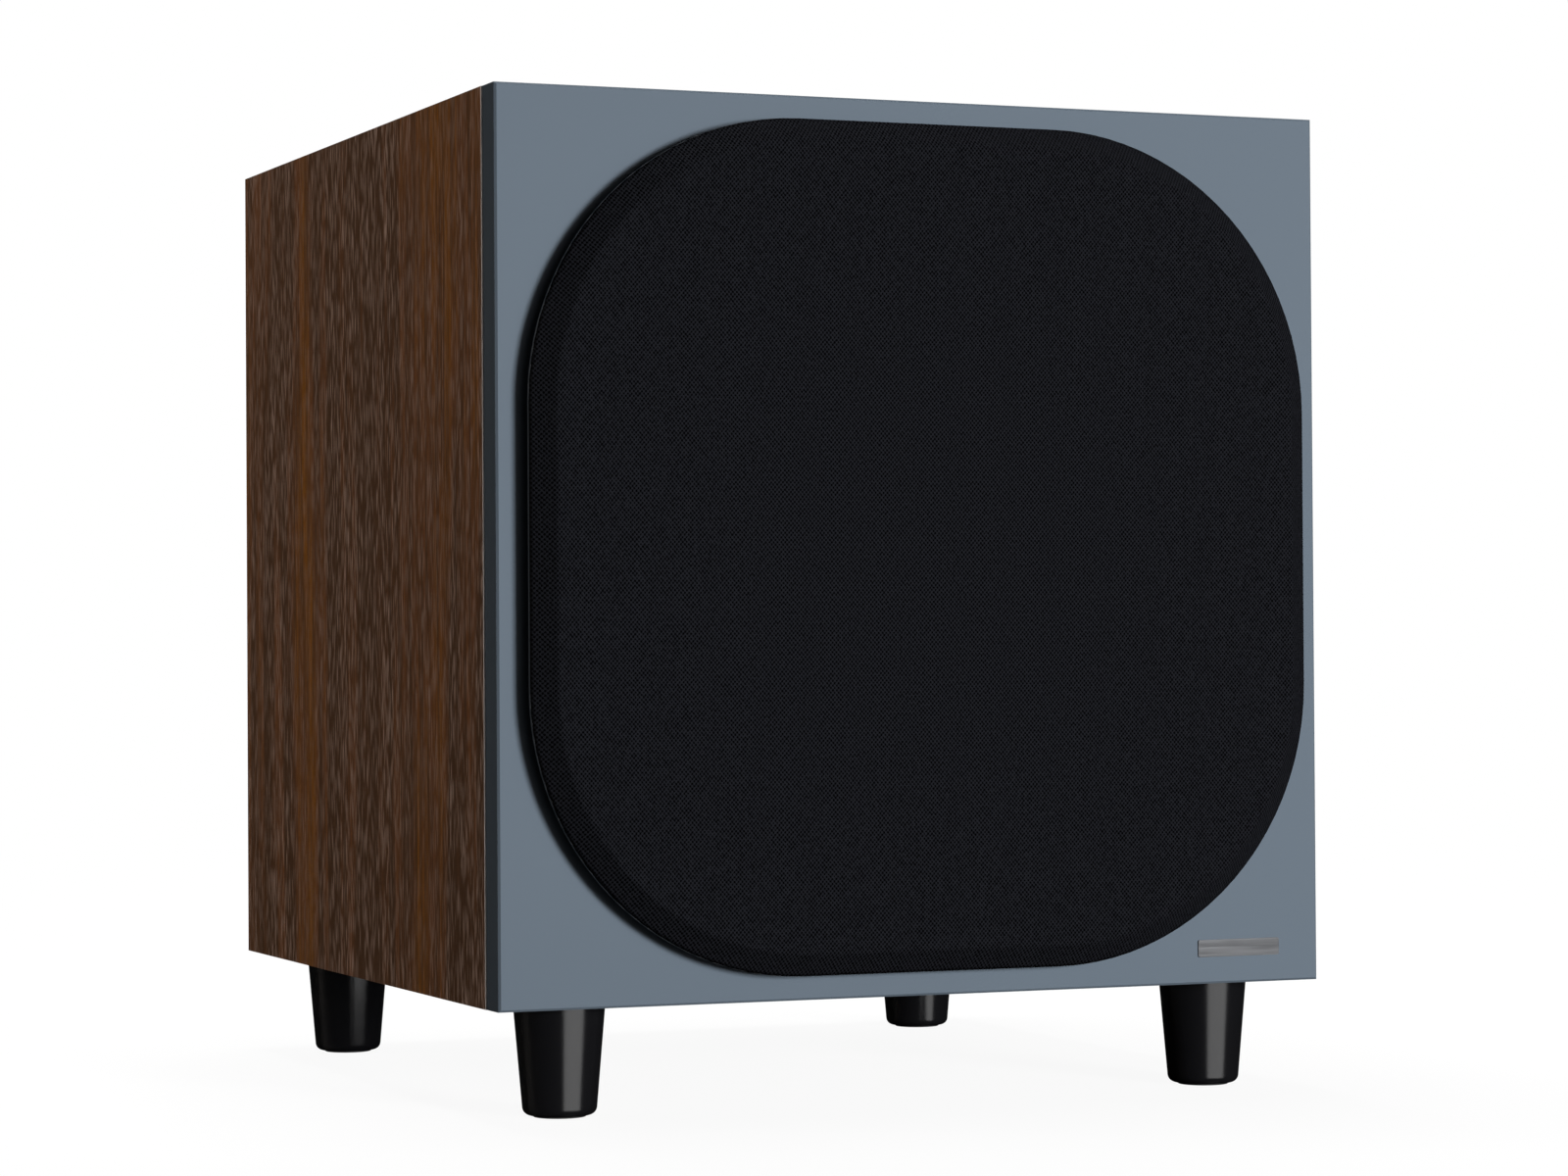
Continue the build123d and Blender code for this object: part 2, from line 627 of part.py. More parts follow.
def controls():
    """Two rotary controls and two slide switches."""
    nodes = {}
    pots = []
    for name, x in (("volume", VOLUME_X), ("crossover", CROSSOVER_X)):
        nodes[name + "_knob"] = knob(x)
        nodes[name + "_shaft"] = rod(x, CONTROL_Z, SHAFT_RADIUS, 315, KNOB_FACE - 1.65)
        pot = block((x - 8.5, x + 8.5), (311, 321), (CONTROL_Z - 9, CONTROL_Z + 9))
        pot += rod(x, CONTROL_Z, 3.5, 321, PLATE_OUT)
        pots.append(pot - rod(x, CONTROL_Z, SHAFT_RADIUS + 0.05, 314.5, PLATE_OUT + 1))
    bodies = []
    for name, x in (("phase", PHASE_X), ("mode", MODE_X)):
        half_x, half_z = LEVER_SIZE[0] / 2, LEVER_SIZE[1] / 2
        rest_x = x - SWITCH_TRAVEL / 2
        nodes[name + "_lever"] = block(
            (rest_x - half_x, rest_x + half_x),
            (324, PLATE_OUT + 2.4),
            (CONTROL_Z - half_z, CONTROL_Z + half_z),
        )
        body = block((x - 9, x + 9), (318, PLATE_IN), (CONTROL_Z - 5, CONTROL_Z + 5))
        reach = half_x + SWITCH_TRAVEL / 2 + 0.3
        slot_z = (CONTROL_Z - half_z - 0.3, CONTROL_Z + half_z + 0.3)
        bodies.append(body - block((x - reach, x + reach), (323.5, PLATE_IN + 1), slot_z))
    nodes["control_pots"] = group(pots)
    nodes["switch_bodies"] = group(bodies)
    return nodes


def jacks():
    """Two input jacks, a trigger socket and a status light."""
    reach = PLATE_OUT + JACK_LENGTH
    barrels = group(
        tube(x, JACK_Z, JACK_RADIUS, 3.6, PLATE_IN - 6, reach)
        + tube(x, JACK_Z, 6.0, 3.6, PLATE_OUT, PLATE_OUT + 1.0)
        for x in JACK_XS
    )
    insulators = group(tube(x, JACK_Z, 3.55, 1.7, PLATE_IN - 9, reach - 1.2) for x in JACK_XS)
    socket = rod(TRIGGER_X, JACK_Z, 3.9, PLATE_IN - 10, PLATE_OUT)
    socket += rod(TRIGGER_X, JACK_Z, 5.0, PLATE_OUT, PLATE_OUT + 2.0)
    socket += block((TRIGGER_X - 5, TRIGGER_X + 5), (PLATE_IN - 14, PLATE_IN - 2), (JACK_Z - 5, JACK_Z + 5))
    light = rod(LED_X, JACK_Z, 1.5, PLATE_IN - 4, PLATE_OUT + 0.8)
    return {
        "rca_barrels": barrels,
        "rca_insulators": insulators,
        "trigger_jack": socket - rod(TRIGGER_X, JACK_Z, TRIGGER_BORE, PLATE_IN - 12, PLATE_OUT + 3),
        "status_led": fillet(light.edges().sort_by(Axis.Y)[-1], 1.2),
    }


def mains_inlet():
    """The inlet moulding, with a socket cavity above the fuse drawer's slot."""
    bezel = PLATE_OUT + 2.0
    middle_z = INLET_Z - 7.5
    body = block((INLET_X - 14.3, INLET_X + 14.3), (311, PLATE_OUT), (middle_z - 18.3, middle_z + 18.3))
    body += slab(Pos(INLET_X, middle_z) * RectangleRounded(34, 42, 2), PLATE_OUT, bezel)
    across, up, deep = INLET_CAVITY
    corner = 4.5
    half = across / 2
    outline = [
        (INLET_X - half, INLET_Z - up / 2),
        (INLET_X + half, INLET_Z - up / 2),
        (INLET_X + half, INLET_Z + up / 2 - corner),
        (INLET_X + half - corner, INLET_Z + up / 2),
        (INLET_X - half + corner, INLET_Z + up / 2),
        (INLET_X - half, INLET_Z + up / 2 - corner),
    ]
    body -= slab(polygon(outline), bezel - deep, bezel + 1)
    slot_x = DRAWER_SIZE[0] / 2 + 0.2
    slot_z = DRAWER_SIZE[2] / 2 + 0.2
    slot_front = bezel - DRAWER_SIZE[1] - 0.4
    slot = block(
        (INLET_X - slot_x, INLET_X + slot_x),
        (slot_front, bezel + 1),
        (DRAWER_Z - slot_z, DRAWER_Z + slot_z),
    )
    return body - slot


def inlet_pins():
    """Three flat contact pins."""
    back_wall = PLATE_OUT + 2.0 - INLET_CAVITY[2]
    pins = []
    for dx, dz in ((-7.0, -2.0), (7.0, -2.0), (0.0, 2.0)):
        x, z = INLET_X + dx, INLET_Z + dz
        pins.append(block((x - 1, x + 1), (back_wall, back_wall + 13), (z - 2, z + 2)))
    return group(pins)


def fuse_drawer():
    """A pull-out tray for the fuse, with a finger notch in its face."""
    face = PLATE_OUT + 2.0
    across, deep, up = DRAWER_SIZE
    tray = block(
        (INLET_X - across / 2, INLET_X + across / 2),
        (face - deep, face + 0.8),
        (DRAWER_Z - up / 2, DRAWER_Z + up / 2),
    )
    pocket_y = (face - deep + 1.0, face - deep + 7.0)
    tray -= block((INLET_X - 10.4, INLET_X + 10.4), pocket_y, (DRAWER_Z - 2.9, DRAWER_Z + up))
    return tray - block((INLET_X - 4, INLET_X + 4), (face - 1, face + 2), (DRAWER_Z + 2, DRAWER_Z + up))


def fuse():
    """A cartridge fuse lying across the drawer."""
    y = PLATE_OUT + 2.0 - DRAWER_SIZE[1] + 4.0
    glass = Pos(INLET_X, y, DRAWER_Z) * Rot(0, 90, 0) * Cylinder(2.3, 20)
    for sx in (-1, 1):
        glass += Pos(INLET_X + sx * 7.5, y, DRAWER_Z) * Rot(0, 90, 0) * Cylinder(2.6, 5)
    return glass


def mains_rocker():
    """The rocker and its axle, pressed at the upper end."""
    across = 12.4
    pivot_y = PLATE_OUT + 0.4
    v_top = [(-10, -3), (10, -3), (10, 5.4), (0, 3.6), (-10, 5.4)]
    profile = Circle(ROCKER_RADIUS) & polygon(v_top)
    # Local X of the profile becomes Z, and local Y becomes Y.
    side = Plane(origin=(0, 0, 0), x_dir=(0, 0, 1), z_dir=(-1, 0, 0))
    cap = extrude(side * profile, amount=across / 2, both=True)
    cap += Rot(0, 90, 0) * Cylinder(1.5, across + 2.4)
    return Pos(ROCKER_X, pivot_y, ROCKER_Z) * Rot(ROCKER_TILT, 0, 0) * cap


def rocker_housing():
    """The snap-in frame that the rocker's axle turns in."""
    bezel = PLATE_OUT + 2.0
    pivot_y = PLATE_OUT + 0.4
    body = block((ROCKER_X - 7.3, ROCKER_X + 7.3), (314, PLATE_OUT), (ROCKER_Z - 10.3, ROCKER_Z + 10.3))
    body += slab(Pos(ROCKER_X, ROCKER_Z) * RectangleRounded(19, 25, 2), PLATE_OUT, bezel)
    cavity_z = (ROCKER_Z - ROCKER_RADIUS - 0.25, ROCKER_Z + ROCKER_RADIUS + 0.25)
    body -= block((ROCKER_X - 6.5, ROCKER_X + 6.5), (PLATE_OUT - 12, bezel + 1), cavity_z)
    axle = Pos(ROCKER_X, pivot_y, ROCKER_Z) * Rot(0, 90, 0) * Cylinder(1.55, 15)
    return body - axle


def model():
    """Every node of the subwoofer, by name."""
    nodes = cabinet_boards()
    nodes["front_baffle"] = front_baffle()
    nodes["inner_baffle"] = inner_baffle()
    nodes["back_panel"] = back_panel()
    nodes["cross_brace"] = cross_brace()
    nodes["baffle_magnets"] = group(
        rod(x, z, MAGNET_RADIUS, 2.0, 2.0 + MAGNET_THICKNESS) for x, z in magnet_places()
    )
    nodes["badge"] = badge()
    nodes["wadding_pads"] = wadding_pads()
    nodes.update(feet())
    for make in (
        basket,
        driver_gasket,
        driver_screws,
        trim_ring,
        surround,
        cone,
        voice_coil_former,
        voice_coil,
        spider,
        driver_terminals,
        speaker_lead,
        amp_plate,
        amp_gasket,
        amp_screws,
        mains_inlet,
        inlet_pins,
        fuse_drawer,
        fuse,
        mains_rocker,
        rocker_housing,
    ):
        nodes[make.__name__] = make()
    for family in (motor, grille, circuit, controls, jacks):
        nodes.update(family())
    return nodes


os.makedirs("parts", exist_ok=True)
for node, shape in model().items():
    export_step(Pos(0, -Y_MIDDLE, 0) * shape, f"parts/{node}.step")
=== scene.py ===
"""The looks of a powered subwoofer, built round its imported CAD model.

Metres, +Z up, front towards -Y. Places come from the frame's own boxes where it has them.
"""
import math

import bmesh
import bpy
from mathutils import Matrix, Vector, noise


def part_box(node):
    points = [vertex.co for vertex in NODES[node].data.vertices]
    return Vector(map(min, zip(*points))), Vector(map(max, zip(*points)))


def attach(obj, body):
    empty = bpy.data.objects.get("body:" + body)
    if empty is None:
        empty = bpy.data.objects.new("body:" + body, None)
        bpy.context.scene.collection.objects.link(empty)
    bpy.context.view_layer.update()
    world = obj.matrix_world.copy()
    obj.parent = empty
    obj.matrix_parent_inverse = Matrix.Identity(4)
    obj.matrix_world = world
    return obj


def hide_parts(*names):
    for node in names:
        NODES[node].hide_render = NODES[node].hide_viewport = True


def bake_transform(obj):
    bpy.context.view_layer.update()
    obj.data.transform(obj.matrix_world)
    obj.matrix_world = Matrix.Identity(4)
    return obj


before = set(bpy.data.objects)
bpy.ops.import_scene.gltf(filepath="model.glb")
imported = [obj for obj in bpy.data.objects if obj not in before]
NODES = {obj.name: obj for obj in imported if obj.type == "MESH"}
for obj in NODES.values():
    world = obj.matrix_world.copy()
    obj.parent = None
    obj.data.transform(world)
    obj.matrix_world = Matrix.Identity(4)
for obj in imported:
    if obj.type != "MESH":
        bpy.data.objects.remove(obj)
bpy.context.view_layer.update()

MM = 0.001
BASKET_LOW, BASKET_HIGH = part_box("basket")
CENTRE_Z = (BASKET_LOW.z + BASKET_HIGH.z) / 2

# ---------------------------------------------------------------- camera

CAMERA_PLACE = (-0.6265, -1.5566, 0.1697)
CAMERA_YAW = math.radians(22.346)
CAMERA_PITCH = math.radians(0.712)
CAMERA_ROLL = math.radians(-0.346)
CAMERA_LENS = 96.43


def add_camera():
    """The photograph's point of view."""
    data = bpy.data.cameras.new("camera")
    data.lens = CAMERA_LENS
    data.sensor_width = 36.0
    camera = bpy.data.objects.new("camera", data)
    bpy.context.scene.collection.objects.link(camera)
    turn = Matrix.Rotation(-CAMERA_YAW, 4, "Z")
    tip = Matrix.Rotation(math.pi / 2 + CAMERA_PITCH, 4, "X")
    roll = Matrix.Rotation(CAMERA_ROLL, 4, "Z")
    camera.matrix_world = Matrix.Translation(CAMERA_PLACE) @ turn @ tip @ roll
    bpy.context.scene.camera = camera


add_camera()

# ---------------------------------------------------------------- shader kit


class Shader:
    """A Principled material, with short calls for the nodes that feed it."""

    def __init__(self, name, color, roughness, **sockets):
        self.material = bpy.data.materials.new(name)
        self.material.use_nodes = True
        self.nodes = self.material.node_tree.nodes
        self.links = self.material.node_tree.links
        self.surface = self.nodes["Principled BSDF"]
        self.set("Base Color", (*color, 1.0))
        self.set("Roughness", roughness)
        for socket, value in sockets.items():
            self.set(socket.replace("_", " "), value)

    def feed(self, socket, value):
        """Gives a socket a value, or links an output to it."""
        if isinstance(value, bpy.types.NodeSocket):
            self.links.new(value, socket)
        else:
            socket.default_value = value

    def set(self, name, value):
        self.feed(self.surface.inputs[name], value)

    def node(self, kind, inputs=(), **settings):
        """Adds a node; inputs are pairs of a socket's name or number and its value or source."""
        made = self.nodes.new("ShaderNode" + kind)
        for name, value in settings.items():
            setattr(made, name, value)
        for socket, value in inputs:
            self.feed(made.inputs[socket], value)
        return made

    def place(self, stretch=(1, 1, 1)):
        """The row's own coordinates in metres, multiplied axis by axis."""
        where = self.node("TexCoord").outputs["Object"]
        return self.node("Mapping", [("Vector", where), ("Scale", stretch)]).outputs["Vector"]

    def axes(self):
        """X, Y and Z of the row's own coordinates."""
        where = self.node("TexCoord").outputs["Object"]
        return self.node("SeparateXYZ", [("Vector", where)]).outputs

    def noise(self, vector, scale, detail=2.0, roughness=0.5, distortion=0.0):
        """Cloudy values from 0 to 1, with scale lumps to the metre."""
        inputs = [
            ("Vector", vector),
            ("Scale", scale),
            ("Detail", detail),
            ("Roughness", roughness),
            ("Distortion", distortion),
        ]
        return self.node("TexNoise", inputs).outputs["Fac"]

    def ramp(self, factor, stops):
        """Colours at places from 0 to 1."""
        made = self.node("ValToRGB", [("Fac", factor)])
        elements = made.color_ramp.elements
        while len(elements) < len(stops):
            elements.new(0.5)
        for element, (place, color) in zip(elements, stops):
            element.position = place
            element.color = (*color, 1.0)
        return made.outputs["Color"]

    def span(self, value, low, high, start=0.0, end=1.0):
        """A value from low to high becomes start to end, and stops there."""
        inputs = [("Value", value), (1, low), (2, high), (3, start), (4, end)]
        return self.node("MapRange", inputs, clamp=True).outputs["Result"]

    def mix(self, factor, one, other):
        """From one colour to another."""
        made = self.node("Mix", data_type="RGBA")
        named = {socket.identifier: socket for socket in made.inputs}
        self.feed(named["Factor_Float"], factor)
        for socket, value in (("A_Color", one), ("B_Color", other)):
            self.feed(named[socket], (*value, 1.0) if isinstance(value, tuple) else value)
        return {socket.identifier: socket for socket in made.outputs}["Result_Color"]

    def calc(self, operation, one, other=0.0):
        """Arithmetic on two values."""
        return self.node("Math", [(0, one), (1, other)], operation=operation).outputs["Value"]

    def wave(self, value, pitch):
        """A sine of the given wavelength."""
        return self.calc("SINE", self.calc("MULTIPLY", value, 2 * math.pi / pitch))

    def bump(self, height, distance, strength=1.0):
        """Relief of the given depth from a height of 0 to 1."""
        inputs = [("Height", height), ("Distance", distance), ("Strength", strength)]
        self.set("Normal", self.node("Bump", inputs).outputs["Normal"])


# ---------------------------------------------------------------- materials

PLAIN_CORE = 3 * MM
WALNUT_DARK = (0.086, 0.042, 0.021)
WALNUT_RED = (0.172, 0.068, 0.026)
WALNUT_OCHRE = (0.225, 0.082, 0.011)
WALNUT_PORE = (0.38, 0.26, 0.205)
# Pale veneer edge at the boards' front. It is lightened further as a painted highlight, standing for
# light caught on the arris, and reaches 0.8 mm onto the outer faces.
PALE_EDGE_WITH_PAINTED_HIGHLIGHT = (0.62, 0.57, 0.55)
EDGE_HIGHLIGHT_WIDTH = 0.8 * MM
EDGE_HIGHLIGHT_FADE = 0.2 * MM


def walnut(name, along):
    """Dark walnut veneer with pale open pores, its grain along one axis, and a pale front edge
    lightened by a painted highlight.
    """
    shade = Shader(name, WALNUT_RED, 0.45, Specular_IOR_Level=0.12)

    def grain(ratio):
        return tuple(ratio if axis == along else 1.0 for axis in "XYZ")

    bands = shade.noise(shade.place(grain(0.09)), 15, 2, 0.5, 0.3)
    columns = shade.noise(shade.place(grain(0.05)), 75, 3, 0.6)
    lines = shade.noise(shade.place(grain(0.03)), 520, 2, 0.6)
    dashes = [("Vector", shade.place(grain(0.08))), ("Scale", 1100.0)]
    pores = shade.node("TexVoronoi", dashes).outputs["Distance"]
    tone = shade.calc("ADD", shade.calc("MULTIPLY", bands, 0.6), shade.calc("MULTIPLY", columns, 0.4))
    ground = shade.ramp(
        tone,
        [
            (0.38, WALNUT_OCHRE),
            (0.46, WALNUT_RED),
            (0.52, WALNUT_DARK),
            (0.58, WALNUT_DARK),
            (0.66, WALNUT_RED),
        ],
    )
    shaded = shade.mix(shade.span(lines, 0.58, 0.38, 0.0, 0.8), ground, WALNUT_DARK)
    openness = shade.span(tone, 0.40, 0.54, 0.4, 1.0)
    rows = shade.calc("MULTIPLY", openness, shade.span(lines, 0.40, 0.56, 0.45, 1.0))
    pore_strength = shade.calc("MULTIPLY", shade.span(pores, 0.50, 0.24), rows)
    face = shade.mix(pore_strength, shaded, WALNUT_PORE)
    # Painted highlight: the front of each board, and a strip just behind it on the outer faces, take
    # the pale edge colour, brighter than bare veneer edge, for light on the arris.
    edge_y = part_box("side_panel_left")[0].y
    edge_end = edge_y + EDGE_HIGHLIGHT_WIDTH
    edge = shade.span(shade.axes()["Y"], edge_end + EDGE_HIGHLIGHT_FADE, edge_end)
    shade.set("Base Color", shade.mix(edge, face, PALE_EDGE_WITH_PAINTED_HIGHLIGHT))
    shade.set("Roughness", shade.span(pores, 0.5, 0.2, 0.4, 0.55))
    shade.bump(pores, 0.1 * MM, 0.3)
    return shade.material


def slate_lacquer():
    """Blue-grey satin paint with a trace of orange peel."""
    shade = Shader("slate_lacquer", (0.12, 0.145, 0.17), 0.4, Specular_IOR_Level=0.12)
    cloud = shade.noise(shade.place(), 9)
    shade.set("Base Color", shade.mix(cloud, (0.056, 0.071, 0.088), (0.060, 0.075, 0.092)))
    shade.set("Roughness", shade.span(cloud, 0.3, 0.7, 0.37, 0.43))
    shade.bump(shade.noise(shade.place(), 900), 0.03 * MM, 0.3)
    return shade.material


def grille_knit():
    """Fine black knit with staggered pores."""
    shade = Shader("grille_knit", (0.006, 0.006, 0.007), 0.9, Specular_IOR_Level=0.05)
    axes = shade.axes()
    across = shade.wave(axes["X"], 1.5 * MM)
    upward = shade.wave(axes["Z"], 1.7 * MM)
    wobble = shade.noise(shade.place(), 900, 2, 0.6)
    uneven = shade.calc("MULTIPLY", wobble, 1.8)
    pores = shade.calc("ADD", shade.calc("MULTIPLY", across, upward), uneven)
    thread = shade.span(pores, 1.5, 0.55)
    shade.set("Base Color", shade.mix(thread, (0.0002, 0.0002, 0.0003), (0.0058, 0.0061, 0.0076)))
    shade.bump(thread, 0.25 * MM, 0.6)
    return shade.material


def moulded(name, color, roughness=0.45, relief=0.04, gloss=0.5):
    """Moulded plastic with a fine texture."""
    shade = Shader(name, color, roughness, Specular_IOR_Level=gloss)
    grain = shade.noise(shade.place(), 2600, 2, 0.6)
    shade.set("Roughness", shade.span(grain, 0.3, 0.7, roughness - 0.04, roughness + 0.05))
    shade.bump(grain, relief * MM, 0.5)
    return shade.material


def painted(name, color, roughness=0.5):
    """Metal under a fine-textured coat."""
    shade = Shader(name, color, roughness)
    grain = shade.noise(shade.place(), 1500, 2, 0.55)
    shade.set("Roughness", shade.span(grain, 0.3, 0.7, roughness - 0.06, roughness + 0.08))
    shade.bump(grain, 0.08 * MM, 0.55)
    return shade.material


def metal(name, color, roughness=0.3, stretch=(1, 1, 1), scale=900):
    """Bare or plated metal with fine marks, which a stretch makes directional."""
    shade = Shader(name, color, roughness, Metallic=1.0)
    marks = shade.noise(shade.place(stretch), scale, 3, 0.6)
    shade.set("Roughness", shade.span(marks, 0.3, 0.7, roughness - 0.07, roughness + 0.09))
    shade.bump(marks, 0.01 * MM, 0.4)
    return shade.material


def spun_metal(name, color, roughness):
    """Metal with fine rings about the driver's axis, and none within the plain core."""
    shade = Shader(name, color, roughness, Metallic=1.0)
    axes = shade.axes()
    high = shade.calc("SUBTRACT", axes["Z"], CENTRE_Z)
    square = shade.calc("ADD", shade.calc("POWER", axes["X"], 2), shade.calc("POWER", high, 2))
    radius = shade.calc("MAXIMUM", shade.calc("SQRT", square), PLAIN_CORE)
    vector = shade.node("CombineXYZ", [("X", radius)]).outputs["Vector"]
    rings = shade.noise(vector, 2200, 3, 0.65)
    shade.set("Roughness", shade.span(rings, 0.3, 0.7, roughness - 0.06, roughness + 0.08))
    shade.bump(rings, 0.02 * MM, 0.4)
    return shade.material


def rubber(name, color=(0.012, 0.012, 0.012)):
    """Black rubber with a faint bloom."""
    shade = Shader(name, color, 0.55)
    bloom = shade.noise(shade.place(), 60, 3, 0.6)
    shade.set("Base Color", shade.mix(bloom, color, tuple(1.8 * c for c in color)))
    shade.bump(shade.noise(shade.place(), 1800), 0.04 * MM, 0.4)
    return shade.material


def foam(name):
    """Open-cell black foam."""
    shade = Shader(name, (0.015, 0.015, 0.015), 0.95)
    cells = shade.noise(shade.place(), 1500, 3, 0.7)
    shade.set("Base Color", shade.mix(cells, (0.004, 0.004, 0.004), (0.035, 0.035, 0.035)))
    shade.bump(cells, 0.3 * MM, 0.8)
    return shade.material


def fibre_board():
    """The machined face of fibreboard."""
    shade = Shader("fibre_board", (0.30, 0.20, 0.12), 0.85)
    speck = shade.noise(shade.place(), 1200, 3, 0.7)
    shade.set("Base Color", shade.mix(speck, (0.22, 0.14, 0.08), (0.42, 0.30, 0.19)))
    shade.bump(speck, 0.1 * MM, 0.5)
    return shade.material


def woven(name, dark, light, pitch):
    """A resin-stiffened plain weave, seen from the front or back."""
    shade = Shader(name, dark, 0.8)
    axes = shade.axes()
    weave = shade.calc("MULTIPLY", shade.wave(axes["X"], pitch), shade.wave(axes["Z"], pitch))
    threads = shade.span(weave, -0.6, 0.6)
    shade.set("Base Color", shade.mix(threads, dark, light))
    shade.bump(threads, 0.2 * MM, 0.6)
    return shade.material


def circuit_board():
    """Green solder mask over copper areas."""
    shade = Shader("circuit_board", (0.01, 0.09, 0.03), 0.35)
    areas = shade.node("TexVoronoi", [("Vector", shade.place()), ("Scale", 160.0)])
    areas.distance = "MANHATTAN"
    edge = shade.span(areas.outputs["Distance"], 0.1, 0.5)
    shade.set("Base Color", shade.mix(edge, (0.02, 0.14, 0.05), (0.006, 0.055, 0.02)))
    return shade.material


def wadding_fibre():
    """Loose white polyester."""
    shade = Shader("wadding_fibre", (0.75, 0.75, 0.72), 0.95, Sheen_Weight=0.3)
    tufts = shade.noise(shade.place(), 180, 4, 0.7, 1.5)
    shade.set("Base Color", shade.mix(tufts, (0.45, 0.45, 0.43), (0.88, 0.88, 0.85)))
    shade.bump(tufts, 3 * MM, 0.8)
    return shade.material


def status_lens():
    """A green diffused lens with a little light of its own."""
    shade = Shader("status_lens", (0.06, 0.5, 0.12), 0.3, Emission_Strength=0.6)
    shade.set("Emission Color", (0.1, 0.9, 0.2, 1.0))
    shade.bump(shade.noise(shade.place(), 900), 0.02 * MM, 0.3)
    return shade.material


def fuse_glass():
    """Glass between two plated caps."""
    shade = Shader("fuse_glass", (0.8, 0.8, 0.78), 0.15)
    low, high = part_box("fuse")
    cap_start = (high.x - low.x) / 2 - 5 * MM
    from_middle = shade.calc("SUBTRACT", shade.axes()["X"], (low.x + high.x) / 2)
    on_cap = shade.span(shade.calc("ABSOLUTE", from_middle), cap_start, cap_start + 0.1 * MM)
    shade.set("Metallic", on_cap)
    shade.set("Base Color", shade.mix(on_cap, (0.55, 0.6, 0.6), (0.75, 0.72, 0.66)))
    return shade.material


def jack_insulator():
    """Nylon insulators, one red and one white, by their side of the middle between them."""
    shade = Shader("jack_insulator", (0.6, 0.6, 0.58), 0.4)
    low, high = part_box("rca_insulators")
    side = shade.calc("GREATER_THAN", shade.axes()["X"], (low.x + high.x) / 2)
    shade.set("Base Color", shade.mix(side, (0.62, 0.61, 0.58), (0.35, 0.01, 0.008)))
    shade.bump(shade.noise(shade.place(), 2000), 0.02 * MM, 0.4)
    return shade.material


def printed_white(name):
    """Screen-printed white."""
    shade = Shader(name, (0.7, 0.7, 0.68), 0.6)
    ink = shade.noise(shade.place(), 1800, 3, 0.6)
    shade.set("Base Color", shade.mix(ink, (0.55, 0.55, 0.53), (0.78, 0.78, 0.76)))
    return shade.material


BLACK = (0.010, 0.010, 0.011)
FEET = ("foot_front_left", "foot_front_right", "foot_rear_left", "foot_rear_right")
PLATED = ("baffle_magnets", "grille_magnets", "inlet_pins")
INLET = ("mains_inlet", "rocker_housing", "fuse_drawer")

FINISHES = [
    (walnut("walnut_upright", "Z"), ("side_panel_left", "side_panel_right", "back_panel")),
    (walnut("walnut_across", "X"), ("top_panel", "bottom_panel")),
    (slate_lacquer(), ("front_baffle",)),
    (fibre_board(), ("inner_baffle", "cross_brace")),
    (moulded("foot_plastic", (0.003, 0.003, 0.0035), 0.2, 0.01, 0.9), FEET),
    (rubber("pad_rubber"), ("foot_pads",)),
    (metal("zinc_steel", (0.55, 0.55, 0.56)), ("foot_bolts", "volume_shaft", "crossover_shaft")),
    (spun_metal("motor_steel", (0.5, 0.5, 0.49), 0.35), ("top_plate", "pole_yoke")),
    (metal("nickel", (0.66, 0.62, 0.56), 0.18), PLATED),
    (painted("basket_coat", (0.012, 0.012, 0.013)), ("basket",)),
    (foam("gasket_foam"), ("driver_gasket", "amp_gasket")),
    (metal("black_oxide", (0.05, 0.05, 0.052), 0.38), ("driver_screws", "amp_screws")),
    (moulded("trim_plastic", (0.008, 0.008, 0.0085), 0.4), ("trim_ring",)),
    (spun_metal("cone_metal", (0.42, 0.42, 0.43), 0.36), ("cone",)),
    (metal("former_foil", (0.65, 0.65, 0.65)), ("voice_coil_former",)),
    (metal("coil_wire", (0.72, 0.28, 0.12), 0.3, (0.02, 1, 0.02), 2500), ("voice_coil",)),
    (painted("ferrite", (0.02, 0.02, 0.02), 0.75), ("magnet_ring",)),
    (metal("tinned_tabs", (0.7, 0.66, 0.5)), ("driver_terminals",)),
    (moulded("lead_sleeve", (0.12, 0.008, 0.008), 0.4), ("speaker_lead",)),
    (moulded("grille_plastic", (0.012, 0.013, 0.015), 0.38), ("grille_frame", "grille_back_ring")),
    (painted("amp_coat", BLACK), ("amp_plate",)),
    (circuit_board(), ("main_board",)),
    (metal("black_anodised", (0.03, 0.03, 0.032), 0.45), ("heatsink",)),
    (painted("varnished_core", (0.05, 0.045, 0.04)), ("supply_transformer",)),
    (moulded("can_sleeve", (0.012, 0.012, 0.03), 0.3), ("supply_capacitors",)),
    (moulded("knob_plastic", BLACK, 0.42), ("volume_knob", "crossover_knob")),
    (moulded("control_body", (0.03, 0.03, 0.032), 0.5), ("control_pots", "switch_bodies")),
    (moulded("lever_plastic", (0.11, 0.11, 0.115), 0.35), ("phase_lever", "mode_lever")),
    (moulded("inlet_plastic", BLACK, 0.42), INLET),
    (moulded("rocker_plastic", (0.007, 0.007, 0.0075), 0.22, 0.01), ("mains_rocker",)),
    (metal("gold_plate", (0.85, 0.58, 0.22), 0.2), ("rca_barrels",)),
    (jack_insulator(), ("rca_insulators",)),
    (moulded("socket_plastic", (0.02, 0.02, 0.022)), ("trigger_jack",)),
    (metal("badge_metal", (0.20, 0.205, 0.215), 0.5, (0.03, 1, 1), 1500), ("badge",)),
    (status_lens(), ("status_led",)),
    (fuse_glass(), ("fuse",)),
]
for finish, names in FINISHES:
    for name in names:
        NODES[name].data.materials.clear()
        NODES[name].data.materials.append(finish)

# ---------------------------------------------------------------- mesh kit


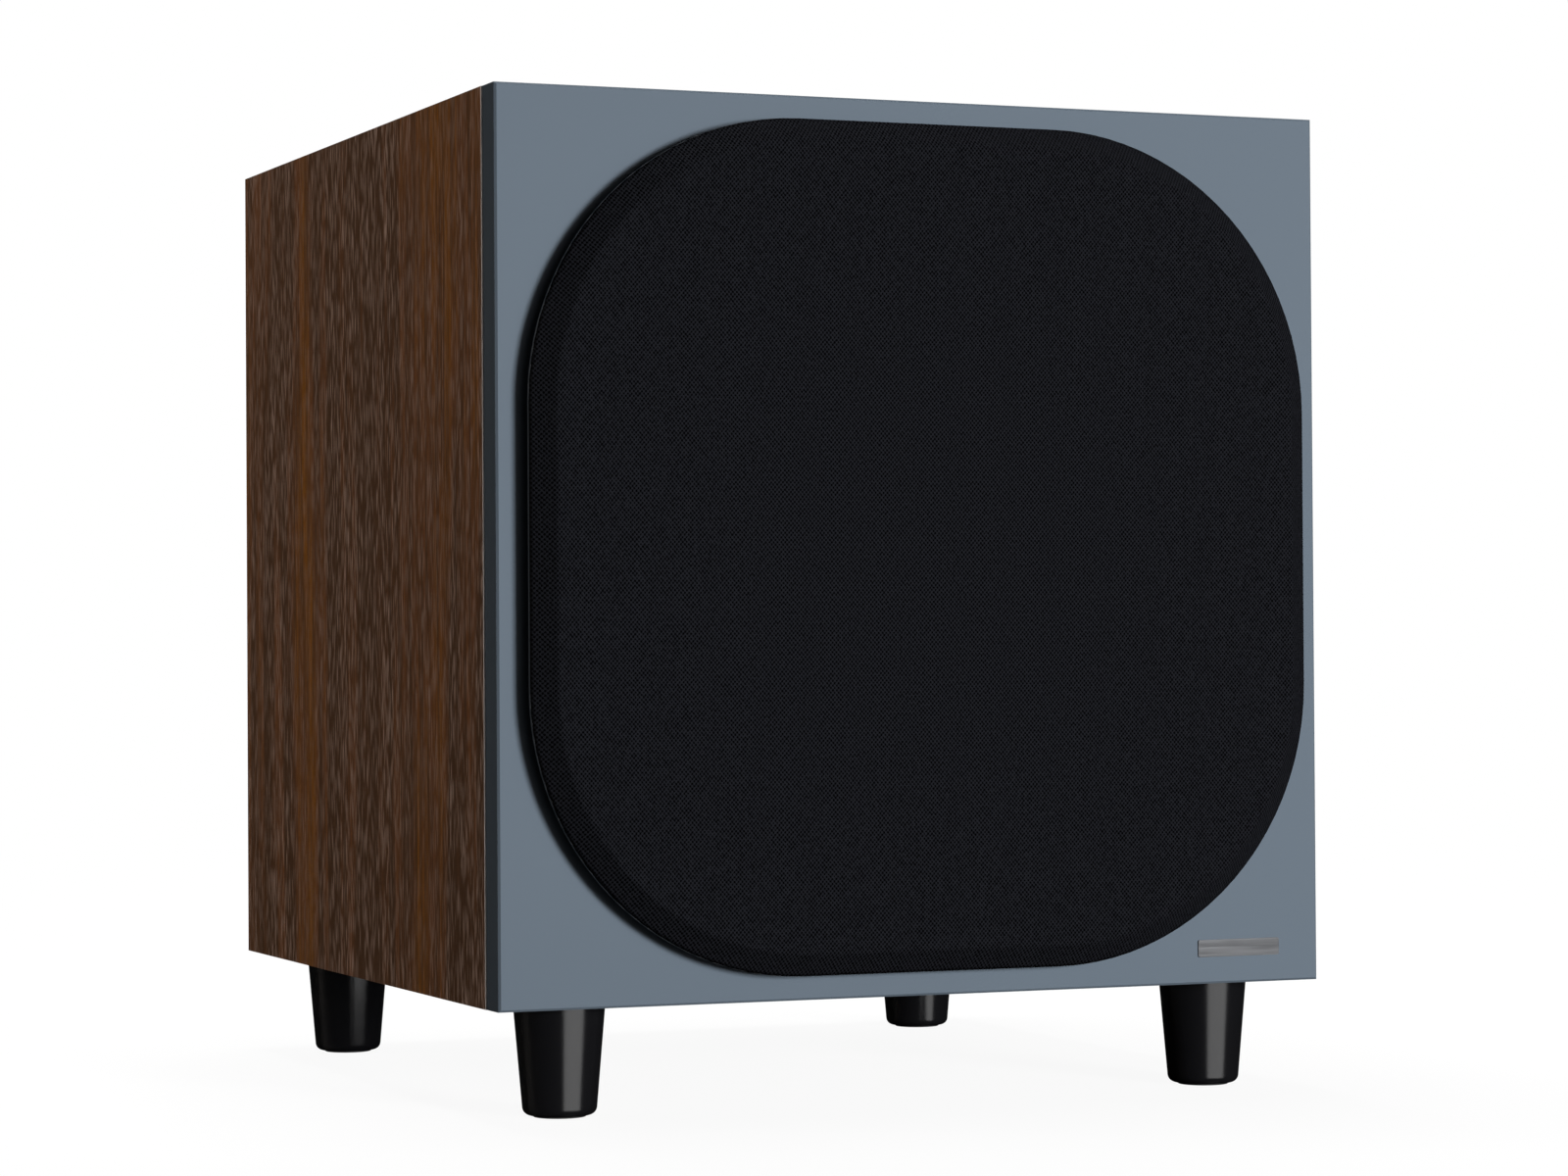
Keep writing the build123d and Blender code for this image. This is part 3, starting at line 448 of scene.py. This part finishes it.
def mesh_piece(name, points, faces, material, crease=40):
    """A smooth object from points and faces, with edges sharper than crease degrees kept."""
    mesh = bpy.data.meshes.new(name)
    mesh.from_pydata([tuple(point) for point in points], [], faces)
    made = bmesh.new()
    made.from_mesh(mesh)
    bmesh.ops.recalc_face_normals(made, faces=made.faces)
    for face in made.faces:
        face.smooth = True
    made.to_mesh(mesh)
    made.free()
    mesh.set_sharp_from_angle(angle=math.radians(crease))
    mesh.materials.append(material)
    piece = bpy.data.objects.new(name, mesh)
    bpy.context.scene.collection.objects.link(piece)
    return piece


def loops(rows, count, closed=False):
    """Quads that join rows of count points, each row a ring; closed joins the last to the first."""
    faces = []
    for row in range(rows if closed else rows - 1):
        here, there = row * count, (row + 1) % rows * count
        for i in range(count):
            j = (i + 1) % count
            faces.append((here + i, here + j, there + j, there + i))
    return faces


def turned(name, profile, material, count=160):
    """A closed outline of radius and Y, turned about the driver's axis."""
    points = []
    for i in range(count):
        angle = 2 * math.pi * i / count
        for radius, y in profile:
            points.append((radius * math.cos(angle), y, CENTRE_Z + radius * math.sin(angle)))
    return mesh_piece(name, points, loops(count, len(profile), closed=True), material)


def blend_by_radius(piece):
    """Bakes the piece's placement into its points; the piece is attached to no body."""
    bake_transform(piece)


# ---------------------------------------------------------------- grille cloth

GRILLE_CORNER = 102.7 * MM
BEVEL_INSET = 8.3 * MM
CLOTH_THICKNESS = 0.6 * MM
CREASE_RADIUS = 2.5 * MM
CLOTH_SAG = 0.5 * MM


def rounded_square(half, corner, arc_steps=22, side_steps=12):
    """Points round a rounded square, from the right-hand end of its upper right corner."""
    points = []
    inset = half - corner
    for quarter in range(4):
        start = quarter * math.pi / 2
        centre = Vector((inset, inset)) @ Matrix.Rotation(-start, 2)
        for step in range(arc_steps):
            angle = start + step / arc_steps * math.pi / 2
            points.append(centre + corner * Vector((math.cos(angle), math.sin(angle))))
        end = start + math.pi / 2
        side_start = centre + corner * Vector((math.cos(end), math.sin(end)))
        along = Vector((-math.sin(end), math.cos(end)))
        for step in range(side_steps):
            points.append(side_start + along * 2 * inset * step / side_steps)
    return points


def grille_profile(rim_y, face_y):
    """Inset and Y from the rim, up the bevel and round its soft crease to the flat face."""
    slope = math.atan2(rim_y - face_y, BEVEL_INSET)
    trim = CREASE_RADIUS * math.tan(slope / 2)
    bevel_length = math.hypot(BEVEL_INSET, rim_y - face_y) - trim
    profile = []
    for step in range(7):
        run = bevel_length * step / 6
        profile.append((run * math.cos(slope), rim_y - run * math.sin(slope)))
    arc_inset, arc_y = BEVEL_INSET + trim, face_y + CREASE_RADIUS
    for step in range(1, 7):
        angle = slope * (1 - step / 6)
        inset = arc_inset - CREASE_RADIUS * math.sin(angle)
        profile.append((inset, arc_y - CREASE_RADIUS * math.cos(angle)))
    return profile


def add_grille_cloth():
    """Cloth stretched over the bevelled frame, a touch hollow across the window."""
    low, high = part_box("grille_cloth")
    half = (high.x - low.x) / 2
    points = []
    profile = grille_profile(high.y, low.y)
    for inset, y in profile:
        for x, z in rounded_square(half - inset, GRILLE_CORNER - inset):
            points.append((x, y, CENTRE_Z + z))
    count = len(points) // len(profile)
    last_inset = profile[-1][0]
    edge = rounded_square(half - last_inset, GRILLE_CORNER - last_inset)
    face_rings = 36
    for ring in range(1, face_rings):
        share = 1 - ring / face_rings
        hollow = CLOTH_SAG * (1 - share * share) ** 2
        for x, z in edge:
            points.append((x * share, low.y + hollow, CENTRE_Z + z * share))
    rows = len(points) // count
    faces = loops(rows, count)
    middle = len(points)
    points.append((0, low.y + CLOTH_SAG, CENTRE_Z))
    first = (rows - 1) * count
    faces += [(first + i, first + (i + 1) % count, middle) for i in range(count)]
    cloth = mesh_piece("stretched_grille_cloth", points, faces, grille_knit())
    if cloth.data.polygons[-1].normal.y > 0:
        cloth.data.flip_normals()
    skin = cloth.modifiers.new("thickness", "SOLIDIFY")
    skin.thickness = CLOTH_THICKNESS
    skin.offset = -1
    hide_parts("grille_cloth")
    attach(cloth, "grille")


add_grille_cloth()

# ---------------------------------------------------------------- driver's soft parts

ROLL_CENTRE = 105.3 * MM
ROLL_RADIUS = 8.2 * MM
ROLL_SKIN = 1.0 * MM
SPIDER_WAVES = 5
SPIDER_HEIGHT = 1.8 * MM
SPIDER_SKIN = 0.7 * MM


def arc(centre, radius, start, end, steps):
    """Points of radius and Y along a circular arc; angles in degrees, 90 towards the front."""
    points = []
    for step in range(steps + 1):
        angle = math.radians(start + (end - start) * step / steps)
        points.append((centre[0] + radius * math.cos(angle), centre[1] - radius * math.sin(angle)))
    return points


def add_surround():
    """The rubber half roll between the cone and the basket."""
    low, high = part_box("surround")
    back = low.y + ROLL_RADIUS
    lip = back - 0.7 * MM
    outer, inner = high.x, 92.6 * MM
    lean = math.degrees(math.asin((back - lip) / ROLL_RADIUS))
    centre = (ROLL_CENTRE, back)
    profile = [(outer, back), (outer, lip)]
    profile += arc(centre, ROLL_RADIUS, lean, 180 - lean, 28)
    profile += [(inner, lip), (inner, back)]
    profile += arc(centre, ROLL_RADIUS - ROLL_SKIN, 180, 0, 28)
    roll = turned("surround_roll", profile, rubber("surround_rubber", (0.009, 0.009, 0.0095)))
    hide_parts("surround")
    blend_by_radius(roll)


def add_spider():
    """The corrugated cloth disc that centres the coil."""
    low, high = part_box("spider")
    back = (low.y + high.y + SPIDER_SKIN) / 2
    outer, inner = high.x, 25.8 * MM
    first, last = 30 * MM, 64 * MM
    steps = 16 * SPIDER_WAVES
    front_line, back_line = [], []
    for step in range(steps + 1):
        share = step / steps
        radius = first + (last - first) * share
        wave = SPIDER_HEIGHT * math.sin(2 * math.pi * SPIDER_WAVES * share)
        front_line.append((radius, back - SPIDER_SKIN + wave))
        back_line.append((radius, back + wave))
    profile = [(inner, back - SPIDER_SKIN)] + front_line + [(outer, back - SPIDER_SKIN)]
    profile += [(outer, back)] + back_line[::-1] + [(inner, back)]
    cloth = woven("spider_cloth", (0.30, 0.20, 0.07), (0.52, 0.38, 0.16), 0.9 * MM)
    disc = turned("spider_disc", profile, cloth, 120)
    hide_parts("spider")
    blend_by_radius(disc)


add_surround()
add_spider()

# ---------------------------------------------------------------- wadding

PAD_DEPTH = 18 * MM


def wadding_pad(wall, low, high):
    """Points and faces of one pad, flat against its wall and puffed towards the middle."""
    middle_y, middle_z = (low.y + high.y) / 2, (low.z + high.z) / 2
    half_y, half_z = (high.y - low.y) / 2, (high.z - low.z) / 2
    made = bmesh.new()
    bmesh.ops.create_cube(made, size=2)
    bmesh.ops.subdivide_edges(made, edges=made.edges[:], cuts=31, use_grid_fill=True)
    points = []
    for vertex in made.verts:
        x, y, z = vertex.co
        crown = ((1 - abs(y) ** 6) * (1 - abs(z) ** 6)) ** 0.4
        lump = 0.9 + 0.1 * noise.noise(Vector((3 * y, 5 * z, wall)))
        thickness = PAD_DEPTH * (0.35 + 0.65 * crown) * lump * (x + 1) / 2
        ragged_y = half_y * y * (0.97 + 0.02 * math.sin(9 * z))
        ragged_z = half_z * z * (0.98 + 0.02 * math.sin(7 * y))
        points.append((wall - math.copysign(thickness, wall), middle_y + ragged_y, middle_z + ragged_z))
    faces = [tuple(vertex.index for vertex in face.verts) for face in made.faces]
    made.free()
    return points, faces


def add_wadding():
    """Two loose pads against the side boards."""
    low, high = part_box("wadding_pads")
    points, faces = wadding_pad(low.x, low, high)
    more_points, more_faces = wadding_pad(high.x, low, high)
    faces += [tuple(len(points) + i for i in face) for face in more_faces]
    pads = mesh_piece("side_wadding", points + more_points, faces, wadding_fibre(), crease=80)
    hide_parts("wadding_pads")
    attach(pads, "cabinet")


add_wadding()

# ---------------------------------------------------------------- printed marks

PLATE_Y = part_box("amp_plate")[1].y
INK = 0.06 * MM
KNOB_TURN = 150                     # degrees each way from the top


def bars(name, places, material):
    """Thin rounded bars that face the rear: each has a centre, a tilt, a width, a length and a Y."""
    points, faces = [], []
    for (x, z), tilt, width, length, y in places:
        outline = []
        for end in (1, -1):
            for step in range(9):
                angle = math.pi * step / 8 + (0 if end > 0 else math.pi)
                across = width / 2 * math.cos(angle)
                along = end * (length - width) / 2 + width / 2 * math.sin(angle)
                outline.append((across, along))
        first = len(points)
        count = len(outline)
        for depth in (y, y + INK):
            for across, along in outline:
                px = x + across * math.cos(tilt) + along * math.sin(tilt)
                pz = z - across * math.sin(tilt) + along * math.cos(tilt)
                points.append((px, depth, pz))
        faces += [tuple(first + i for i in f) for f in loops(2, count)]
        faces.append(tuple(first + i for i in range(count)))
        faces.append(tuple(first + count + i for i in range(count)))
    return mesh_piece(name, points, faces, material)


def add_dial(control, ink):
    """Tick marks round a knob, and the painted line in its pointer groove."""
    low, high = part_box(control + "_knob")
    x, z = (low.x + high.x) / 2, (low.z + high.z) / 2
    radius = (high.x - low.x) / 2
    ticks = []
    for step in range(11):
        tilt = math.radians(KNOB_TURN * (step / 5 - 1))
        length = (2.6 if step % 5 == 0 else 1.6) * MM
        out = radius + 1.8 * MM + length / 2
        place = (x + out * math.sin(tilt), z + out * math.cos(tilt))
        ticks.append((place, tilt, 0.5 * MM, length, PLATE_Y))
    marks = bars(control + "_dial_marks", ticks, ink)
    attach(marks, "cabinet")
    line_length = radius - 3 * MM
    groove = [((x, z + 2.3 * MM + line_length / 2), 0, 0.9 * MM, line_length, high.y - 0.5 * MM)]
    line = bars(control + "_pointer_line", groove, ink)
    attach(line, control)


INK_WHITE = printed_white("ink_white")
add_dial("volume", INK_WHITE)
add_dial("crossover", INK_WHITE)

# ---------------------------------------------------------------- studio

WHITE = (1, 1, 1, 1)
WORLD_TINT = (0.95, 0.97, 1, 1)
WORLD_STRENGTH = 0.012
FLOOR_HALF = 6.0


def softbox(name, azimuth, elevation, distance, size, radiance, color=(1, 1, 1), lights="both"):
    """A light that faces the cabinet; azimuth 0 is in front, and positive is to the right.

    lights says which response it feeds: "matte" for diffuse, "gloss" for reflections, or "both".
    """
    data = bpy.data.lights.new(name, "AREA")
    data.shape = "RECTANGLE"
    data.size, data.size_y = size
    data.energy = math.pi * radiance * size[0] * size[1]
    data.color = color
    light = bpy.data.objects.new(name, data)
    turn, lift = math.radians(azimuth), math.radians(elevation)
    way = Vector((math.sin(turn) * math.cos(lift), -math.cos(turn) * math.cos(lift), math.sin(lift)))
    light.location = Vector((0, 0, CENTRE_Z)) + distance * way
    light.rotation_euler = way.to_track_quat("Z", "Y").to_euler()
    light.visible_camera = False
    light.visible_glossy = lights != "matte"
    light.visible_diffuse = lights != "gloss"
    bpy.context.scene.collection.objects.link(light)


def ray_choice(nodes, links, seen, unseen, out):
    """Sends one shader to the camera and another to every other ray."""
    path = nodes.new("ShaderNodeLightPath")
    choice = nodes.new("ShaderNodeMixShader")
    links.new(path.outputs["Is Camera Ray"], choice.inputs["Fac"])
    links.new(unseen, choice.inputs[1])
    links.new(seen, choice.inputs[2])
    links.new(choice.outputs["Shader"], out)


def add_world():
    """White to the camera, and a dim even light on the object."""
    world = bpy.data.worlds.new("studio")
    world.use_nodes = True
    nodes, links = world.node_tree.nodes, world.node_tree.links
    seen = nodes["Background"]
    seen.inputs["Color"].default_value = WHITE
    seen.inputs["Strength"].default_value = 1.0
    unseen = nodes.new("ShaderNodeBackground")
    unseen.inputs["Color"].default_value = WORLD_TINT
    unseen.inputs["Strength"].default_value = WORLD_STRENGTH
    out = nodes["World Output"].inputs["Surface"]
    ray_choice(nodes, links, seen.outputs[0], unseen.outputs[0], out)
    bpy.context.scene.world = world


def add_floor():
    """A pale floor, near white to the camera, that gives the object only a dim reflection."""
    half = FLOOR_HALF
    corners = [(-half, -half, 0), (half, -half, 0), (half, half, 0), (-half, half, 0)]
    material = bpy.data.materials.new("studio_floor")
    material.use_nodes = True
    nodes, links = material.node_tree.nodes, material.node_tree.links
    nodes.remove(nodes["Principled BSDF"])
    pale = nodes.new("ShaderNodeBsdfDiffuse")
    pale.inputs["Color"].default_value = (0.8, 0.8, 0.8, 1)
    glow = nodes.new("ShaderNodeEmission")
    glow.inputs["Color"].default_value = WHITE
    both = nodes.new("ShaderNodeMixShader")
    where = nodes.new("ShaderNodeTexCoord")
    far = nodes.new("ShaderNodeVectorMath")
    far.operation = "LENGTH"
    fade = nodes.new("ShaderNodeMapRange")
    for socket, value in (("From Min", 0.6), ("From Max", 1.8), ("To Min", 0.93), ("To Max", 1.0)):
        fade.inputs[socket].default_value = value
    links.new(where.outputs["Object"], far.inputs[0])
    links.new(far.outputs["Value"], fade.inputs["Value"])
    links.new(fade.outputs["Result"], both.inputs["Fac"])
    links.new(pale.outputs[0], both.inputs[1])
    links.new(glow.outputs[0], both.inputs[2])
    sheen = nodes.new("ShaderNodeBsdfGlossy")
    sheen.inputs["Color"].default_value = (0.5, 0.5, 0.5, 1)
    sheen.inputs["Roughness"].default_value = 0.2
    out = nodes["Material Output"].inputs["Surface"]
    ray_choice(nodes, links, both.outputs[0], sheen.outputs[0], out)
    floor = mesh_piece("studio_floor", corners, [(0, 1, 2, 3)], material)


softbox("key", 17, 0, 3.0, (0.7, 0.9), 140, lights="matte")
softbox("front", 16, 2, 2.0, (1.9, 1.2), 3.0, lights="gloss")
softbox("fill", 0, 15, 2.0, (1.6, 1.2), 0.15, lights="matte")
softbox("overhead", 180, 78, 2.0, (0.8, 1.2), 15.0, lights="matte")
softbox("rear", 155, 25, 2.4, (1.8, 1.4), 3.5, lights="matte")
softbox("left_wash", -109, 20, 1.6, (0.22, 1.2), 10.2, (1, 0.95, 0.89), lights="matte")
softbox("left_strip", -109, 20, 1.6, (0.1, 1.2), 16, (1, 0.92, 0.84), lights="gloss")
add_world()
add_floor()

bpy.context.scene.view_settings.view_transform = "Standard"
